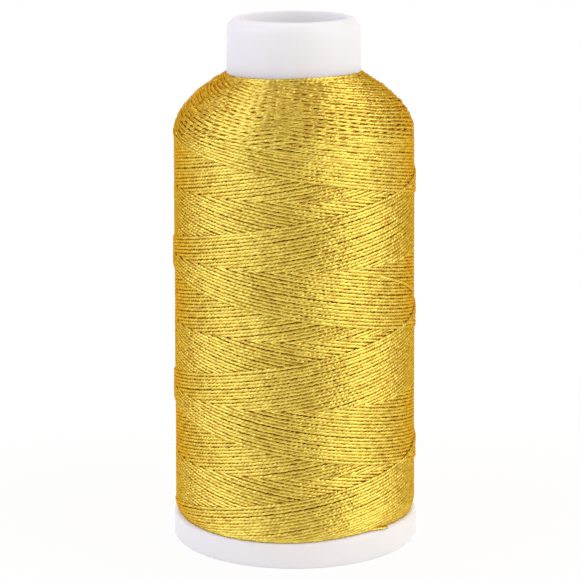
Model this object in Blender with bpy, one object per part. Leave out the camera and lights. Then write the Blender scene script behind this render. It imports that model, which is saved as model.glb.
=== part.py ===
"""A spool of metallic craft thread: a moulded tube and foot, and the thread that is wound on them.

Metres, with +Z up the spool's axis. The origin is the middle of the foot's underside, on which the spool
stands. The tube plugs into the foot, where a snap bead holds it, and a machine's spool pin passes up its
bore. The thread's inner layers are one plain body. Its outermost layer is wound over that as one flat band,
a thread thick and as wide as the threads that lie side by side there.
"""

import math

import bmesh
import bpy
import numpy as np
from mathutils import Vector

# The whole spool.
OVERALL_HEIGHT = 0.1275
FIT_GAP = 0.0003  # between pieces that touch or fit

# The foot: a shallow moulded cap with a rim, a hub and ribs underneath.
FOOT_RADIUS = 0.030
FOOT_HEIGHT = 0.0055
FOOT_EDGE_ROUNDING = 0.0015
FOOT_PLATE = 0.0016
FOOT_RIM_WALL = 0.0022
HUB_WALL = 0.0016
RIB_COUNT = 8
RIB_THICKNESS = 0.0012
RIB_LIFT = 0.001  # the ribs' lower edges stay this far above the table

# The tube: one straight taper from the foot to the head.
TUBE_FOOT_RADIUS = 0.0176
TUBE_TOP_RADIUS = 0.01587
TUBE_WALL = 0.0018
SPIGOT_STEP = 0.0008  # the spigot that enters the hub is this much slimmer than the tube
SPIGOT_LIFT = 0.0006  # the spigot's end stays this far above the table
BEAD_PROUD = 0.0007
BEAD_HEIGHT = 0.001

# The head: the tube's bare top, with a thicker collar round the mouth.
HEAD_HEIGHT = 0.0131
HEAD_ROUNDING = 0.0027
COLLAR_WALL = 0.00317
COLLAR_DEPTH = 0.012
MOUTH_ROUNDING = 0.0004

# The winding: slightly wider at the foot, with a rounded shoulder up to the head.
THREAD_DIAMETER = 0.00075
WINDING_LEDGE = 0.0005  # bare foot outside the lowest turns
WINDING_TAPER = 0.0008  # how much slimmer the winding is at its shoulder than at the foot
SHOULDER_HEIGHT = 0.014
SHOULDER_FULLNESS = 0.9  # under 1, the shoulder bulges
NECK_STEP = 0.00035  # how far the top turns stand proud of the head
CORE_EDGE_ROUNDING = 0.001
CORE_TOP_WALL = 0.0006
OUTER_TURNS = 24
TURN_GAP = 0.0005  # between neighbouring outer turns
NECK_MARGIN = 0.001  # bare shoulder between the last turn and the head
TAIL_START_ANGLE = math.radians(22)  # from the front, -Y, towards +X
TAIL_TIP_ANGLE = math.radians(47)
TAIL_TIP_LEAN = math.radians(38)  # how far round the foot's edge the tip has slipped

# How finely round things are drawn.
ROUND_STEPS = 72
QUARTER_STEPS = 4
SHOULDER_STEPS = 10
POINTS_PER_TURN = 24
TAIL_POINTS = 9

# Worked out from the sizes above.
NECK_HEIGHT = OVERALL_HEIGHT - HEAD_HEIGHT
TUBE_SEAT = FOOT_HEIGHT + FIT_GAP
SPIGOT_RADIUS = TUBE_FOOT_RADIUS - SPIGOT_STEP
BORE_FOOT_RADIUS = TUBE_FOOT_RADIUS - TUBE_WALL
MOUTH_RADIUS = TUBE_TOP_RADIUS - COLLAR_WALL
HUB_RADIUS = SPIGOT_RADIUS + FIT_GAP
HUB_FOOT = SPIGOT_LIFT + BEAD_HEIGHT + FIT_GAP
WINDING_FOOT = FOOT_HEIGHT + FIT_GAP
WINDING_FOOT_RADIUS = FOOT_RADIUS - WINDING_LEDGE
SHOULDER_START = NECK_HEIGHT - SHOULDER_HEIGHT
THREAD_RADIUS = THREAD_DIAMETER / 2
TURN_SAG = WINDING_FOOT_RADIUS * (1 - math.cos(math.pi / POINTS_PER_TURN))  # by which its chords dip


def tube_radius(height):
    """The tube's outer radius at a height."""
    share = (height - TUBE_SEAT) / (OVERALL_HEIGHT - TUBE_SEAT)
    return TUBE_FOOT_RADIUS + (TUBE_TOP_RADIUS - TUBE_FOOT_RADIUS) * share


def winding_radius(height):
    """The outside of the winding at a height: a long taper, and above it a rounded shoulder."""
    top_radius = WINDING_FOOT_RADIUS - WINDING_TAPER
    if height < SHOULDER_START:
        share = (height - WINDING_FOOT) / (SHOULDER_START - WINDING_FOOT)
        return WINDING_FOOT_RADIUS - WINDING_TAPER * share
    neck_radius = tube_radius(NECK_HEIGHT) + NECK_STEP
    drop = max(0.0, (NECK_HEIGHT - height) / SHOULDER_HEIGHT)
    return neck_radius + (top_radius - neck_radius) * math.sin(math.pi / 2 * drop**SHOULDER_FULLNESS)


def winding_slope(height):
    """How fast the winding's radius changes with height."""
    step = THREAD_RADIUS
    return (winding_radius(height + step) - winding_radius(height - step)) / (2 * step)


def radius_under(height, depth):
    """The radius of the surface that lies a depth under the outside of the winding."""
    return winding_radius(height) - depth * math.hypot(1, winding_slope(height))


def linear_colour(hex_colour):
    """The sRGB colour #rrggbb as Blender's linear red, green, blue and alpha."""
    shares = [int(hex_colour[place : place + 2], 16) / 255 for place in (1, 3, 5)]
    return [s / 12.92 if s <= 0.04045 else ((s + 0.055) / 1.055) ** 2.4 for s in shares] + [1.0]


def new_material(name, hex_colour, roughness, metallic):
    material = bpy.data.materials.new(name)
    material.use_nodes = True
    shader = material.node_tree.nodes["Principled BSDF"]
    shader.inputs["Base Color"].default_value = linear_colour(hex_colour)
    shader.inputs["Roughness"].default_value = roughness
    shader.inputs["Metallic"].default_value = metallic
    return material


def place(name, data, material):
    """Puts a mesh or a curve in the scene as a named piece with its material."""
    piece = bpy.data.objects.new(name, data)
    piece.data.materials.append(material)
    bpy.context.scene.collection.objects.link(piece)
    return piece


def rounded_outline(corners):
    """The closed outline through corners of (radius, height, rounding), each rounding drawn as an arc."""
    outline = []
    for index, (radius, height, rounding) in enumerate(corners):
        corner = Vector((radius, height))
        if rounding <= 0:
            outline.append(corner)
            continue
        to_last = (Vector(corners[index - 1][:2]) - corner).normalized()
        to_next = (Vector(corners[(index + 1) % len(corners)][:2]) - corner).normalized()
        half_angle = to_last.angle(to_next) / 2
        middle = (to_last + to_next).normalized() * (rounding / math.sin(half_angle))
        start = to_last * (rounding / math.tan(half_angle)) - middle
        end = to_next * (rounding / math.tan(half_angle)) - middle
        sweep = math.pi - 2 * half_angle
        steps = max(2, math.ceil(QUARTER_STEPS * sweep / (math.pi / 2)))
        for step in range(steps + 1):
            turned = sweep * step / steps
            arm = (start * math.sin(sweep - turned) + end * math.sin(turned)) / math.sin(sweep)
            outline.append(corner + middle + arm)
    return outline


def turned_piece(name, outline, material):
    """Spins a closed outline of (radius, height) once round the spool's axis."""
    shape = bmesh.new()
    corners = [shape.verts.new((radius, 0, height)) for radius, height in outline]
    edges = [shape.edges.new((corners[i - 1], corners[i])) for i in range(len(corners))]
    bmesh.ops.spin(
        shape, geom=corners + edges, axis=(0, 0, 1), angle=math.tau, steps=ROUND_STEPS, use_merge=True
    )
    bmesh.ops.recalc_face_normals(shape, faces=shape.faces)
    mesh = bpy.data.meshes.new(name)
    shape.to_mesh(mesh)
    shape.free()
    mesh.shade_smooth()
    mesh.set_sharp_from_angle(angle=math.radians(30))
    return place(name, mesh, material)


def make_tube(material):
    """The tapered tube, open at both ends, with its head above and its snap spigot below."""
    collar_foot = OVERALL_HEIGHT - COLLAR_DEPTH
    bore_top = collar_foot - COLLAR_WALL
    head_rounding = min(HEAD_ROUNDING, COLLAR_WALL - MOUTH_ROUNDING)
    corners = [
        (TUBE_TOP_RADIUS, OVERALL_HEIGHT, head_rounding),
        (TUBE_FOOT_RADIUS, TUBE_SEAT, 0),
        (SPIGOT_RADIUS, TUBE_SEAT, 0),
        (SPIGOT_RADIUS, HUB_FOOT - FIT_GAP, 0),
        (SPIGOT_RADIUS + BEAD_PROUD, SPIGOT_LIFT + BEAD_HEIGHT / 2, 0),
        (SPIGOT_RADIUS, SPIGOT_LIFT, 0),
        (BORE_FOOT_RADIUS, SPIGOT_LIFT, 0),
        (BORE_FOOT_RADIUS, TUBE_SEAT, 0),
        (tube_radius(bore_top) - TUBE_WALL, bore_top, 0),
        (MOUTH_RADIUS, collar_foot, 0),
        (MOUTH_RADIUS, OVERALL_HEIGHT, MOUTH_ROUNDING),
    ]
    return turned_piece("spool_tube", rounded_outline(corners), material)


def make_ribs(material):
    """The foot's radial ribs, a guide that is joined to it, with the ribs' ends inside its walls."""
    inside = HUB_RADIUS + HUB_WALL / 2
    outside = FOOT_RADIUS - FOOT_RIM_WALL / 2
    top = FOOT_HEIGHT - FOOT_PLATE / 2
    shape = bmesh.new()
    for rib in range(RIB_COUNT):
        made = bmesh.ops.create_cube(shape, size=1)["verts"]
        bmesh.ops.scale(shape, verts=made, vec=(outside - inside, RIB_THICKNESS, top - RIB_LIFT))
        bmesh.ops.translate(shape, verts=made, vec=((inside + outside) / 2, 0, (top + RIB_LIFT) / 2))
        turn = math.tau * (rib + 0.5) / RIB_COUNT
        rotation = Vector((1, 0, 0)).rotation_difference(Vector((math.cos(turn), math.sin(turn), 0)))
        bmesh.ops.rotate(shape, verts=made, cent=(0, 0, 0), matrix=rotation.to_matrix())
    mesh = bpy.data.meshes.new("foot_ribs")
    shape.to_mesh(mesh)
    shape.free()
    ribs = place("foot_ribs", mesh, material)
    ribs.hide_render = True
    ribs.display_type = "WIRE"
    return ribs


def make_foot(material):
    """The round foot: a plate with a rim that stands on the table and a hub that holds the tube."""
    plate_under = FOOT_HEIGHT - FOOT_PLATE
    rim_inside = FOOT_RADIUS - FOOT_RIM_WALL
    hub_outside = HUB_RADIUS + HUB_WALL
    corners = [
        (HUB_RADIUS, FOOT_HEIGHT, 0),
        (FOOT_RADIUS, FOOT_HEIGHT, FOOT_EDGE_ROUNDING),
        (FOOT_RADIUS, 0, FOOT_RIM_WALL / 6),
        (rim_inside, 0, FOOT_RIM_WALL / 6),
        (rim_inside, plate_under, 0),
        (hub_outside, plate_under, 0),
        (hub_outside, HUB_FOOT, 0),
        (HUB_RADIUS, HUB_FOOT, 0),
    ]
    foot = turned_piece("foot_flange", rounded_outline(corners), material)
    joined = foot.modifiers.new("ribs", "BOOLEAN")
    joined.operation = "UNION"
    joined.object = make_ribs(material)
    return foot


def core_radius(height):
    """The plain core's radius, which leaves room for the outer turns over it."""
    return radius_under(height, THREAD_DIAMETER + TURN_SAG + FIT_GAP)


def core_bore(height):
    """The radius of the core's bore, round the tube."""
    return tube_radius(height) + FIT_GAP


def make_winding_core(material):
    """The inner layers of thread: a plain body that fills the spool from the foot to the head."""
    heights = np.linspace(SHOULDER_START, NECK_HEIGHT, 200)
    walls = [core_radius(height) - core_bore(height) for height in heights]
    core_top = float(np.interp(-CORE_TOP_WALL, np.negative(walls), heights))
    corners = [
        (core_bore(core_top), core_top, 0),
        (core_bore(WINDING_FOOT), WINDING_FOOT, 0),
        (core_radius(WINDING_FOOT), WINDING_FOOT, CORE_EDGE_ROUNDING),
    ]
    for step in range(SHOULDER_STEPS + 1):
        height = SHOULDER_START + (core_top - SHOULDER_START) * step / SHOULDER_STEPS
        corners.append((core_radius(height), height, 0))
    return turned_piece("thread_inner_layers", rounded_outline(corners[::-1]), material)


def seat_on_foot_edge(lean):
    """The radius and height of a thread's centre, where it leans out over the foot's rounded edge."""
    reach = FOOT_EDGE_ROUNDING + FIT_GAP + THREAD_RADIUS
    radius = FOOT_RADIUS - FOOT_EDGE_ROUNDING + reach * math.sin(lean)
    height = FOOT_HEIGHT - FOOT_EDGE_ROUNDING + reach * math.cos(lean)
    return radius, height


def lean_at(radius):
    """How far a thread at a radius leans out over the foot's rounded edge."""
    reach = FOOT_EDGE_ROUNDING + FIT_GAP + THREAD_RADIUS
    return math.asin(max(0.0, min(1.0, (radius - FOOT_RADIUS + FOOT_EDGE_ROUNDING) / reach)))


def around(angle, radius, height):
    """The point at an angle from the front, -Y, towards +X."""
    return Vector((radius * math.sin(angle), -radius * math.cos(angle), height))


def wound_curve(name, points, material):
    """A curve with closed ends along its points, with the thickness of one thread."""
    curve = bpy.data.curves.new(name, "CURVE")
    curve.dimensions = "3D"
    curve.bevel_depth = THREAD_RADIUS
    curve.bevel_resolution = 1
    curve.use_fill_caps = True
    spline = curve.splines.new("POLY")
    spline.points.add(len(points) - 1)
    for spline_point, point in zip(spline.points, points):
        spline_point.co = (*point, 1)
    return place(name, curve, material)


def make_band_section(width):
    """The outer turns' cross-section, a guide: as thick as one thread, and drawn in to its two edges."""
    section = bpy.data.curves.new("band_section", "CURVE")
    section.dimensions = "2D"
    spline = section.splines.new("POLY")
    shape = [(0, 0.5), (0.5, 0.36), (0.5, -0.36), (0, -0.5), (-0.5, -0.36), (-0.5, 0.36)]
    spline.points.add(len(shape) - 1)
    for spline_point, (across, along) in zip(spline.points, shape):
        spline_point.co = (across * THREAD_DIAMETER, along * width, 0, 1)
    spline.use_cyclic_u = True
    guide = bpy.data.objects.new("band_section", section)
    guide.hide_render = True
    guide.display_type = "WIRE"
    bpy.context.scene.collection.objects.link(guide)
    return guide


def least_gap(points, width):
    """The least clear distance from the wound band to itself, past the quarter turn beside each point."""
    places = np.array(points)
    distances = np.linalg.norm(places[:, None] - places[None], axis=2)
    steps = np.arange(len(places))
    distances[np.abs(steps[:, None] - steps[None]) < POINTS_PER_TURN // 4] = np.inf
    return distances.min() - width


def make_outer_turns(material):
    """The outermost layer, one unbroken band from the foot to the head, towards -X at the front.

    Its turns are evenly spaced along the winding's outside. One point more, a thread's diameter beyond
    each end, keeps both ends straight.
    """
    heights = np.linspace(WINDING_FOOT, NECK_HEIGHT, OUTER_TURNS * POINTS_PER_TURN)
    radii = [radius_under(height, THREAD_RADIUS) for height in heights]
    runs = np.concatenate([[0], np.cumsum(np.hypot(np.diff(heights), np.diff(radii)))])
    pitch = (runs[-1] - NECK_MARGIN + TURN_GAP) / (OUTER_TURNS + 1)
    width = pitch - TURN_GAP
    points = []
    tilts = []
    for step in range(OUTER_TURNS * POINTS_PER_TURN + 1):
        run = width / 2 + pitch * step / POINTS_PER_TURN
        height = np.interp(run, runs, heights)
        angle = TAIL_START_ANGLE - math.tau * step / POINTS_PER_TURN
        points.append(around(angle, radius_under(height, THREAD_RADIUS), height))
        tilts.append(-math.atan(winding_slope(height)))
    start = points[0] + (points[0] - points[1]).normalized() * THREAD_DIAMETER
    end = points[-1] + (points[-1] - points[-2]).normalized() * THREAD_DIAMETER
    points = [start, *points, end]
    tilts = [tilts[0], *tilts, tilts[-1]]
    turns = wound_curve("thread_outer_turns", points, material)
    turns.data.bevel_mode = "OBJECT"
    turns.data.bevel_object = make_band_section(width)
    turns.data.twist_mode = "Z_UP"
    for spline_point, tilt in zip(turns.data.splines[0].points, tilts):
        spline_point.tilt = tilt
    gap = least_gap(points, width)
    print(f"thread_outer_turns: {OUTER_TURNS} turns, least gap to itself {gap * 1000:.2f} mm")


def make_tail(material):
    """The thread's end: on from the lowest turn, then out and down over the foot's rounded edge."""
    first_radius = radius_under(WINDING_FOOT, THREAD_RADIUS)
    first_angle = TAIL_START_ANGLE + (THREAD_DIAMETER + FIT_GAP) / first_radius
    points = []
    for step in range(TAIL_POINTS):
        share = step / (TAIL_POINTS - 1)
        lean = lean_at(first_radius) * (1 - share**2) + TAIL_TIP_LEAN * share**2
        angle = first_angle * (1 - share) + TAIL_TIP_ANGLE * share
        points.append(around(angle, *seat_on_foot_edge(lean)))
    wound_curve("thread_tail", points, material)
    length = sum((b - a).length for a, b in zip(points, points[1:]))
    print(f"thread_tail: {length * 1000:.1f} mm long")


def main():
    for left_over in list(bpy.data.objects):
        bpy.data.objects.remove(left_over)
    white_plastic = new_material("white_polypropylene", "#edebf0", 0.38, 0.0)
    gold_thread = new_material("gold_metallised_thread", "#d8b03c", 0.4, 0.85)
    make_tube(white_plastic)
    make_foot(white_plastic)
    make_winding_core(gold_thread)
    make_outer_turns(gold_thread)
    make_tail(gold_thread)


main()
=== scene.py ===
# %% [markdown]
# # A spool of metallic craft thread
#
# The real thing is a white moulded spool, a tapered tube that plugs into a round foot, with a gold thread
# cross-wound on it. Cross-winding means that the thread travels up and down the spool in steep turns, so
# that each layer crosses the last and holds it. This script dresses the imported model, piece by piece: first
# the view and the light, then the two mouldings, and then the thread, which is most of what one sees.

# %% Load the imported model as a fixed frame
import math

import bmesh
import bpy
import numpy as np
from mathutils import Matrix, Vector


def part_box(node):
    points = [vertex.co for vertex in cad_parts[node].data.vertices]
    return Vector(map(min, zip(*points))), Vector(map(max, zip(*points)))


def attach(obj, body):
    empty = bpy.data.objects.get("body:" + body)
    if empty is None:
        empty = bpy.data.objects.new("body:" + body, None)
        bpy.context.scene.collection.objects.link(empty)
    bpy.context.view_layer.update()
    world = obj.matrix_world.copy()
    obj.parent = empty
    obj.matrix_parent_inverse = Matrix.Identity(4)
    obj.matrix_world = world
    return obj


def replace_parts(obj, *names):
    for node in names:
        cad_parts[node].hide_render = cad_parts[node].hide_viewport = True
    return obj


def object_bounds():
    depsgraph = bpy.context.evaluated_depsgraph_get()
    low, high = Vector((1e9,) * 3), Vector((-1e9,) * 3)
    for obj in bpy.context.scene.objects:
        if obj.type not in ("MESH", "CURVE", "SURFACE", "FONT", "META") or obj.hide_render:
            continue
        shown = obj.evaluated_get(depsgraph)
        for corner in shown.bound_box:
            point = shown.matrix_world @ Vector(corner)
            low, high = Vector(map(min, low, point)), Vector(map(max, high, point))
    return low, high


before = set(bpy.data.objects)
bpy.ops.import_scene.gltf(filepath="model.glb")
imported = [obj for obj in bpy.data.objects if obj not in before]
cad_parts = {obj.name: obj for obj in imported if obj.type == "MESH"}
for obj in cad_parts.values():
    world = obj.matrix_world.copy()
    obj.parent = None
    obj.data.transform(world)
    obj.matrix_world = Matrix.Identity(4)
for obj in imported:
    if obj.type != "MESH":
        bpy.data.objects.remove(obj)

MM = 0.001
cad_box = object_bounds()
print(len(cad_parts), "packed nodes, in a box of")
print([[round(side / MM, 1) for side in corner] for corner in cad_box], "mm")

# %% [markdown]
# ## Colours and nodes
#
# Colours are written as sRGB hex, as a colour picker gives them, and Blender wants them linear. A material
# is a small graph of nodes: one function that adds a node with its settings and its links keeps each graph
# as short as a list of what it does.

# %% One way to write a colour and one way to add a node


def linear(hex_colour):
    """The sRGB colour #rrggbb as Blender's linear red, green, blue and alpha."""
    shares = [int(hex_colour[place : place + 2], 16) / 255 for place in (1, 3, 5)]
    return [s / 12.92 if s <= 0.04045 else ((s + 0.055) / 1.055) ** 2.4 for s in shares] + [1.0]


def add(tree, kind, settings=None, **inputs):
    """Adds a node. Settings are its properties; inputs are values or the sockets of other nodes.

    An input is named by its socket, with _ for a space, or by in_ and its place in the list.
    """
    made = tree.nodes.new(kind)
    for name, value in (settings or {}).items():
        setattr(made, name, value)
    for name, value in inputs.items():
        if name.startswith("in_"):
            socket = made.inputs[int(name[3:])]
        else:
            socket = made.inputs[name.replace("_", " ")]
        if isinstance(value, bpy.types.NodeSocket):
            tree.links.new(value, socket)
        else:
            socket.default_value = value
    return made


def empty_material(name):
    """A material whose graph is bare but for its output."""
    material = bpy.data.materials.new(name)
    material.use_nodes = True
    tree = material.node_tree
    tree.nodes.clear()
    return material, tree, tree.nodes.new("ShaderNodeOutputMaterial")


print("the grey #808080 is", round(linear("#808080")[0], 3), "in linear light")

# %% [markdown]
# ## Camera
#
# The photograph was taken with a long lens from a little above. Its place comes from the ellipses of the
# foot and of the mouth, which show how far down it looks, and from how much narrower the head looks than it
# would with no perspective. The spool stands a hair out of plumb in the picture, which is the camera's roll.

# %% Camera
PHOTO_SIDE = 580  # pixels
PHOTO_FOCAL = 2255.5  # pixels
SENSOR = 36.0  # mm wide
CAMERA_PLACE = Vector((0, -535.0, 186.4)) * MM
CAMERA_PITCH = math.radians(13.2)
CAMERA_ROLL = math.radians(-0.22)
AXIS_SHIFT = 4.6  # pixels by which the spool's axis stands right of the picture's middle

lens = bpy.data.cameras.new("camera")
lens.sensor_width = SENSOR
lens.lens = SENSOR * PHOTO_FOCAL / PHOTO_SIDE
lens.clip_start = 0.01
camera = bpy.data.objects.new("camera", lens)
bpy.context.scene.collection.objects.link(camera)
turn = Matrix.Rotation(math.atan(AXIS_SHIFT / PHOTO_FOCAL), 4, "Z")
tip = Matrix.Rotation(math.pi / 2 - CAMERA_PITCH, 4, "X")
roll = Matrix.Rotation(CAMERA_ROLL, 4, "Z")
camera.matrix_world = Matrix.Translation(CAMERA_PLACE) @ turn @ tip @ roll
bpy.context.scene.camera = camera
bpy.context.scene.view_settings.view_transform = "Standard"
print("camera:", round(lens.lens, 1), "mm lens")

# %% [markdown]
# ## Stage
#
# The picture's background is plain white. A floor that is only painted white comes out grey wherever the
# light falls off, so here the floor shows white to the eye and to what mirrors it. Round the spool a part of
# that white is lit paint instead, which keeps the spool's shadow. Far out the floor turns up in a cove, as a
# studio's backdrop does, so that a level view sees white too. The room above is much less bright than the
# floor and the lamps, and the metal thread needs that: what mirrors only white looks flat.

# %% The floor's paint
SHADOW_SHARE = 0.1  # of the white near the spool that is lit paint
SHADOW_REACH = (0.04, 0.16)  # metres from the spool between which that share fades out


def seen_or_mirrored(tree):
    """1 for rays from the camera, from a glossy surface or through a clear one, else 0."""
    rays = add(tree, "ShaderNodeLightPath").outputs
    seen = rays["Is Camera Ray"]
    for kind in ("Is Glossy Ray", "Is Transmission Ray"):
        seen = add(tree, "ShaderNodeMath", {"operation": "MAXIMUM"}, in_0=seen, in_1=rays[kind]).outputs[0]
    return seen


def make_floor_paint():
    material, tree, output = empty_material("white_studio_floor")
    lit = add(tree, "ShaderNodeBsdfDiffuse", Color=linear("#fdfdfd"))
    white = add(tree, "ShaderNodeEmission", Color=linear("#ffffff"), Strength=1.0)
    place = add(tree, "ShaderNodeTexCoord").outputs["Object"]
    reach = add(tree, "ShaderNodeVectorMath", {"operation": "LENGTH"}, in_0=place)
    plain = add(tree, "ShaderNodeMapRange", {"interpolation_type": "SMOOTHSTEP"}, in_0=reach.outputs["Value"],
                in_1=SHADOW_REACH[0], in_2=SHADOW_REACH[1], in_3=1 - SHADOW_SHARE, in_4=1.0)
    share = add(tree, "ShaderNodeMath", {"operation": "MULTIPLY"}, in_0=seen_or_mirrored(tree),
                in_1=plain.outputs[0])
    both = add(tree, "ShaderNodeMixShader", in_0=share.outputs[0], in_1=lit.outputs[0],
               in_2=white.outputs[0])
    tree.links.new(both.outputs[0], output.inputs["Surface"])
    return material


print("the floor takes the spool's shadow out to", SHADOW_REACH[1], "m")

# %% Floor
FLOOR_REACH = 3.0  # metres from the spool
COVE_ROUNDING = 0.4  # metres, where the floor turns up into a low wall
COVE_HEIGHT = 0.9
COVE_SIDES = 48
COVE_STEPS = 8
FLOOR_DROP = 0.02 * MM  # below the foot, so that the two faces don't flicker


def make_floor():
    """A round floor that turns up all round into a low wall."""
    outline = [(FLOOR_REACH - COVE_ROUNDING, 0.0)]
    for step in range(1, COVE_STEPS + 1):
        turned = math.pi / 2 * step / COVE_STEPS
        radius = FLOOR_REACH - COVE_ROUNDING * (1 - math.sin(turned))
        outline.append((radius, COVE_ROUNDING * (1 - math.cos(turned))))
    outline.append((FLOOR_REACH, COVE_HEIGHT))
    corners = []
    for radius, height in outline:
        for side in range(COVE_SIDES):
            turned = math.tau * side / COVE_SIDES
            corners.append((radius * math.cos(turned), radius * math.sin(turned), height - FLOOR_DROP))
    faces = [tuple(range(COVE_SIDES))]
    for ring in range(len(outline) - 1):
        for side in range(COVE_SIDES):
            here, after = ring * COVE_SIDES + side, ring * COVE_SIDES + (side + 1) % COVE_SIDES
            faces.append((here, here + COVE_SIDES, after + COVE_SIDES, after))
    mesh = bpy.data.meshes.new("floor")
    mesh.from_pydata(corners, [], faces)
    mesh.materials.append(make_floor_paint())
    floor = bpy.data.objects.new("floor", mesh)
    bpy.context.scene.collection.objects.link(floor)
    print("floor:", len(faces), "faces")


make_floor()

# %% The room
ROOM_LEVEL = 0.375
ROOM_COLOUR = "#ffe4ae"  # the warm dimness that the middle of the winding mirrors


def light_the_room():
    world = bpy.data.worlds.new("studio_room")
    world.use_nodes = True
    bpy.context.scene.world = world
    tree = world.node_tree
    tree.nodes.clear()
    room = add(tree, "ShaderNodeBackground", Color=linear(ROOM_COLOUR), Strength=ROOM_LEVEL)
    tree.links.new(room.outputs[0], tree.nodes.new("ShaderNodeOutputWorld").inputs["Surface"])
    print("room light:", ROOM_LEVEL)


light_the_room()

# %% [markdown]
# ## Lamps
#
# Two tall soft boxes stand left and right of the camera. Each wound thread is a tiny mirror that lies level,
# so a box shows as one upright bright band where the winding faces half way between it and the camera: left
# of the middle for the left box and right of it for the right one. The middle mirrors the dimmer room behind
# the camera, so it stays darker. The left box is the cooler one. A weaker box, high up behind, lights the
# rim of the mouth and the back of the winding. All three are blue of white, because the room's own light is
# warm and the white plastic has to stay white between them.

# %% Lamps
LAMP_DISTANCE = 1.8  # metres


def make_lamp(name, azimuth, elevation, width, height, power, colour):
    """A soft box that faces the spool. Sizes are in metres, azimuth 0 is in front, and a plus turns to +X."""
    lamp = bpy.data.lights.new(name, "AREA")
    lamp.shape = "RECTANGLE"
    lamp.size, lamp.size_y = width, height
    lamp.energy = power
    lamp.color = linear(colour)[:3]
    holder = bpy.data.objects.new(name, lamp)
    bpy.context.scene.collection.objects.link(holder)
    across, up = math.radians(azimuth), math.radians(elevation)
    arm = Vector((math.sin(across) * math.cos(up), -math.cos(across) * math.cos(up), math.sin(up)))
    target = (cad_box[0] + cad_box[1]) / 2
    holder.location = target + arm * LAMP_DISTANCE
    holder.rotation_euler = arm.to_track_quat("Z", "Y").to_euler()
    holder.visible_camera = False
    print(name, power, "W")


make_lamp("left_soft_box", -71, 32, 1.8, 2.1, 21.4, "#d0dcff")
make_lamp("right_soft_box", 65, 32, 1.6, 2.1, 20.6, "#eef2ff")
make_lamp("back_soft_box", 180, 62, 1.8, 1.8, 13.0, "#fbf8ff")

# %% [markdown]
# ## White plastic
#
# Spools like this are injection-moulded in polypropylene. It is slightly waxy: light goes a little way in
# before it comes back, which softens every edge, and the mould's fine spark-eroded grain keeps it from
# shining. So the material has some subsurface scattering, a middling roughness that varies a little where
# the melt flowed, and a bump for the grain. The two mouldings get the same plastic with light that goes to
# different depths. The foot's copy is painted a little lighter than the collar's, painted light that makes
# up for the dimmer light round the foot. The collar is thin and lit from inside too, so light wanders right
# through its wall, and it looks milky. The foot is backed by shade, and light that wandered as far there
# would be lost and leave it grey.

# %% Moulded polypropylene
MOULD_GRAIN = 0.12  # mm across one pit of the grain, drawn twice as coarse as it is, so that it shows at all
MOULD_GRAIN_DEPTH = 0.004  # mm
FLOW_MARK = 14.0  # mm between the faint cloudy marks of the melt's flow
LIGHT_DEPTH = 1.2  # mm that light goes sideways in the foot
LIGHT_DEPTH_IN_COLLAR = 6.0


def make_polypropylene(name, dark, light, light_depth):
    """White plastic with its tint's two ends, in which light spreads to a depth in mm."""
    material, tree, output = empty_material(name)
    place = add(tree, "ShaderNodeTexCoord").outputs["Object"]
    flow = add(tree, "ShaderNodeTexNoise", Vector=place, Scale=1 / (FLOW_MARK * MM), Detail=2.0)
    tint = add(tree, "ShaderNodeValToRGB", Fac=flow.outputs["Fac"])
    tint.color_ramp.elements[0].color = linear(dark)
    tint.color_ramp.elements[1].color = linear(light)
    gloss = add(tree, "ShaderNodeMapRange", in_0=flow.outputs["Fac"], in_3=0.36, in_4=0.46)
    grain = add(tree, "ShaderNodeTexNoise", Vector=place, Scale=1 / (MOULD_GRAIN * MM), Detail=1.0)
    pits = add(tree, "ShaderNodeBump", Height=grain.outputs["Fac"], Distance=MOULD_GRAIN_DEPTH * MM,
               Strength=0.6)
    plastic = add(
        tree, "ShaderNodeBsdfPrincipled", Base_Color=tint.outputs["Color"], Roughness=gloss.outputs[0],
        IOR=1.49, Subsurface_Weight=0.8, Subsurface_Radius=(1.0, 0.95, 0.9),
        Subsurface_Scale=light_depth * MM, Normal=pits.outputs["Normal"],
    )
    tree.links.new(plastic.outputs[0], output.inputs["Surface"])
    print(material.name, len(tree.nodes), "nodes")
    return material


# The foot's copy is painted a little lighter than the collar's: painted light for the dimmer light round the
# foot.
polypropylene = make_polypropylene("moulded_white_polypropylene", "#f6f6fe", "#fafafe", LIGHT_DEPTH)
thin_polypropylene = make_polypropylene(
    "moulded_white_polypropylene_thin", "#f0f1fd", "#f5f6ff", LIGHT_DEPTH_IN_COLLAR
)

# %% [markdown]
# ## Turned pieces
#
# The tube and the foot are round, so each is an outline spun once round the axis. Their outlines follow the
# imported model's, with more points in every rounding and more steps round, so that the edges catch one clean
# line of light.

# %% Sizes of the mouldings, in mm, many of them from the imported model
SPOOL_HEIGHT = cad_box[1].z / MM
FOOT_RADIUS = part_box("foot_flange")[1].x / MM
FOOT_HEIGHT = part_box("foot_flange")[1].z / MM
SPIGOT_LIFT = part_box("spool_tube")[0].z / MM
FIT_GAP = 0.3  # between the two mouldings, and round what they carry
TUBE_FOOT_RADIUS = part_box("spool_tube")[1].x / MM
TUBE_TOP_RADIUS = 15.84
TUBE_WALL = 1.8
COLLAR_WALL = 3.17
COLLAR_DEPTH = 12.0  # from the mouth down to where the bore widens
BORE_ROUNDING = 2.0
HEAD_HEIGHT = 13.1  # of the white that stands out of the winding
HEAD_ROUNDING = 2.9
MOUTH_ROUNDING = 0.25
SPIGOT_STEP = 0.8  # by which the tube narrows where the foot grips it
BEAD_PROUD = 0.7  # of the snap bead under the foot's hub
BEAD_HEIGHT = 1.0
ROUND_STEPS = 192  # round the axis
ARC_STEPS = 10  # in each quarter turn of a rounding
TUBE_SEAT = FOOT_HEIGHT + FIT_GAP
NECK_HEIGHT = SPOOL_HEIGHT - HEAD_HEIGHT
print("tube, mm:", round(TUBE_FOOT_RADIUS, 2), "at the foot; neck at", round(NECK_HEIGHT, 1))

# %% Spinning an outline


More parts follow.
